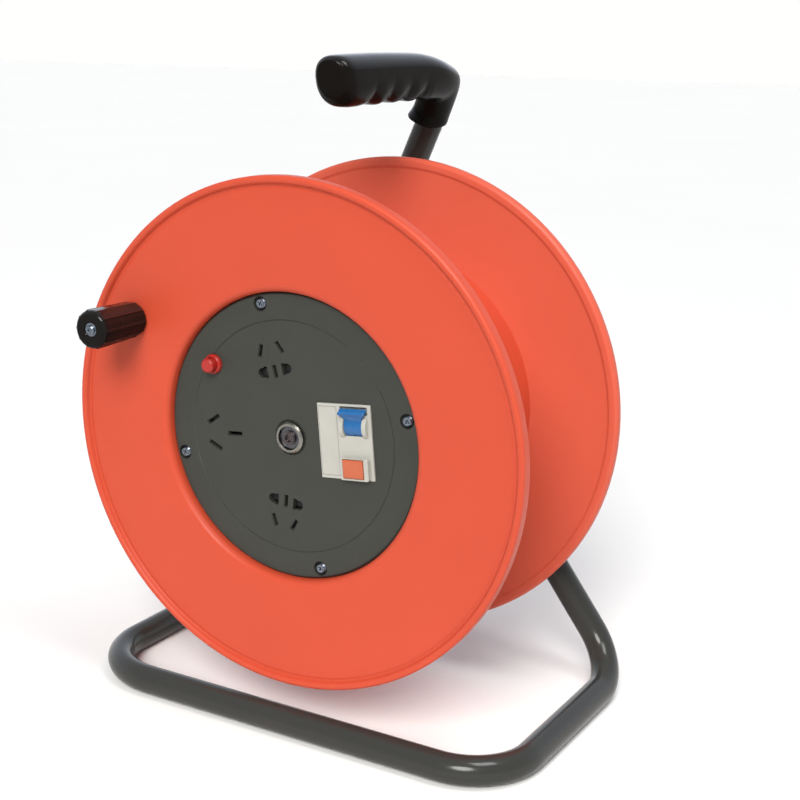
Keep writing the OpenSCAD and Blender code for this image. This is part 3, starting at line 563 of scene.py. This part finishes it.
# counterbores of the two grip screws, on the side turned away
bores = bmesh.new()
for y in (0.0, 58.0):
    place = Matrix.Translation(Vector(((GX - 11.2 - 15) * MM, (y + YS) * MM, GZ * MM))) @ Matrix.Rotation(P2, 4, "Y")
    bmesh.ops.create_cone(bores, cap_ends=True, segments=40, radius1=4 * MM, radius2=4 * MM, depth=30 * MM, matrix=place)
bm_me = bpy.data.meshes.new("grip_bores")
bores.to_mesh(bm_me)
bores.free()
cutter = bpy.data.objects.new("grip_bores", bm_me)
scene.collection.objects.link(cutter)
cut = grip.modifiers.new("bores", "BOOLEAN")
cut.operation = "DIFFERENCE"
cut.solver = "EXACT"
cut.object = cutter
bpy.context.view_layer.update()
shaped = bpy.data.meshes.new_from_object(grip.evaluated_get(bpy.context.evaluated_depsgraph_get()))
grip.modifiers.clear()
grip.data = shaped
bpy.data.objects.remove(cutter)
shaped.shade_smooth()
shaped.set_sharp_from_angle(angle=math.radians(50))


# ---------------------------------------------------------------- knob
def knob_mesh():
    n = 160
    prof = [  # distance ahead of the drum's middle, radius, how much of the flutes
        (67.75, 6.4, 0), (67.75, 9.4, 0), (67.95, 10.1, 0.1), (68.4, 10.7, 0.5), (69.2, 11.1, 0.85), (70.4, 11.25, 1),
        (74.0, 11.35, 1), (80.0, 11.5, 1), (88.0, 11.75, 1), (97.0, 12.0, 1), (103.5, 12.15, 1), (106.2, 12.2, 1),
        (107.1, 12.05, 0.9), (107.8, 11.5, 0.6), (108.35, 10.8, 0.3), (108.65, 10.0, 0.1), (108.7, 9.3, 0), (108.7, 4.7, 0),
        (108.4, 4.4, 0), (107.1, 4.4, 0), (107.1, 3.5, 0), (67.75, 3.5, 0)]
    verts, faces = [], []
    for s, r, f in prof:
        for i in range(n):
            a = 2 * math.pi * i / n
            t = (a * 10 / (2 * math.pi)) % 1.0
            # a broad flat with a narrow rounded rib between two flats
            u = abs(t - 0.5) * 2
            flute = -0.55 * (1 - u ** 6) * f
            rr = r + flute
            verts.append((kx + rr * math.cos(a), YS - s, kz + rr * math.sin(a)))
    m = len(prof)
    for i in range(m):
        j = (i + 1) % m
        for k in range(n):
            q = (k + 1) % n
            faces.append((i * n + k, i * n + q, j * n + q, j * n + k))
    return verts, faces


knob = add("crank_knob", *knob_mesh(), M["knob"], "knob", "knob_black", ["knob"], angle=38)


# ---------------------------------------------------------------- CAD nodes
SKIN = {
    "tube": ["axle_bracket", "axle_weld"],
    "steel": ["axle", "axle_spacer", "thrust_washer", "grip_screws", "flange_screws", "panel_screws", "socket_screws",
              "cord_clamp_screws", "knob_sleeve", "knob_washer", "knob_screw"],
    "chrome": ["front_bush"],
    "washer": ["retaining_washer"],
    "core_screw": ["axle_screw"],
    "orange": ["drum_core"],
    "panel": ["socket_panel"],
    "ivory": ["rcd_housing", "rcd_cover"],
    "black": ["top_socket_body", "bottom_socket_body", "left_socket_body", "overload_body", "cable_gland", "gland_nut",
              "top_socket_shutter", "bottom_socket_shutter", "left_socket_shutter"],
    "blue": ["rcd_toggle"],
    "test": ["rcd_test_button"],
    "red": ["overload_collar", "overload_reset_button"],
    "nylon": ["rear_bush", "terminal_block", "cord_clamp"],
    "brass": ["top_socket_contacts", "bottom_socket_contacts", "left_socket_contacts", "terminal_screws"],
    "brown": ["wire_live"], "wblue": ["wire_neutral"], "green": ["wire_earth"],
}
for key, names in SKIN.items():
    for n in names:
        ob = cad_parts[n]
        ob.data.materials.clear()
        ob.data.materials.append(M[key].m)

# ---------------------------------------------------------------- light and floor
world = bpy.data.worlds.new("studio")
scene.world = world
world.use_nodes = True
wt = world.node_tree
bg = wt.nodes["Background"]
# a white horizon all round under a darker, cooler ceiling
wc = wt.nodes.new("ShaderNodeTexCoord")
wx = wt.nodes.new("ShaderNodeSeparateXYZ")
wr = wt.nodes.new("ShaderNodeValToRGB")
stops = [(0.06, (1.01, 1.005, 0.99)), (0.18, (0.90, 0.96, 1.06)), (0.40, (0.64, 0.70, 0.82)), (0.70, (0.42, 0.44, 0.47))]
wr.color_ramp.elements[0].position, wr.color_ramp.elements[0].color = stops[0][0], stops[0][1] + (1,)
wr.color_ramp.elements[1].position, wr.color_ramp.elements[1].color = stops[-1][0], stops[-1][1] + (1,)
for pos, col in stops[1:-1]:
    wr.color_ramp.elements.new(pos).color = col + (1,)
wt.links.new(wc.outputs["Generated"], wx.inputs[0])
wt.links.new(wx.outputs["Z"], wr.inputs["Fac"])
wt.links.new(wr.outputs["Color"], bg.inputs["Color"])
# the studio behind the camera is dimmer than the white sweep behind the reel
wd = wt.nodes.new("ShaderNodeVectorMath")
wd.operation = "DOT_PRODUCT"
wd.inputs[1].default_value = (0.54, -0.84, 0.0)
wm = wt.nodes.new("ShaderNodeMapRange")
for key, v in (("From Min", -0.15), ("From Max", 0.55), ("To Min", 1.0), ("To Max", 0.45)):
    wm.inputs[key].default_value = v
wt.links.new(wc.outputs["Generated"], wd.inputs[0])
wt.links.new(wd.outputs["Value"], wm.inputs["Value"])
wt.links.new(wm.outputs["Result"], bg.inputs["Strength"])


def area(name, loc, target, size, power, colour=(1, 1, 1), size_y=None):
    d = bpy.data.lights.new(name, "AREA")
    d.energy = power
    d.color = colour
    d.size = size
    if size_y:
        d.shape = "RECTANGLE"
        d.size_y = size_y
    o = bpy.data.objects.new(name, d)
    o.location = loc
    o.rotation_mode = "QUATERNION"
    o.rotation_quaternion = (Vector(target) - Vector(loc)).to_track_quat("-Z", "Y")
    scene.collection.objects.link(o)
    return o


key = bpy.data.lights.new("key", "SUN")
key.energy = 3.2
key.angle = math.radians(26)
key.color = (1.0, 0.985, 0.96)
ko = bpy.data.objects.new("key", key)
ko.rotation_mode = "QUATERNION"
ko.rotation_quaternion = Vector((-0.24, 0.77, -0.59)).to_track_quat("-Z", "Y")
scene.collection.objects.link(ko)
area("side", (0.38, -0.14, 0.80), (0.12, 0.05, 0.28), 0.3, 2.4)

fm = bpy.data.meshes.new("floor")
fm.from_pydata([(-8, -8, 0), (8, -8, 0), (8, 8, 0), (-8, 8, 0)], [], [(0, 1, 2, 3)])
floor = bpy.data.objects.new("floor", fm)
floor.location.z = -0.0003
scene.collection.objects.link(floor)
FL = Mat("floor_pale", (0.997, 0.99, 0.978), rough=0.7, tint=0.01, tint_scale=2, spec=0.2, bump=0.02, bump_scale=60)
fm.materials.append(FL.m)

scene.view_settings.view_transform = "Standard"
scene.view_settings.look = "None"
scene.view_settings.exposure = 0.0
scene.view_settings.gamma = 1.0
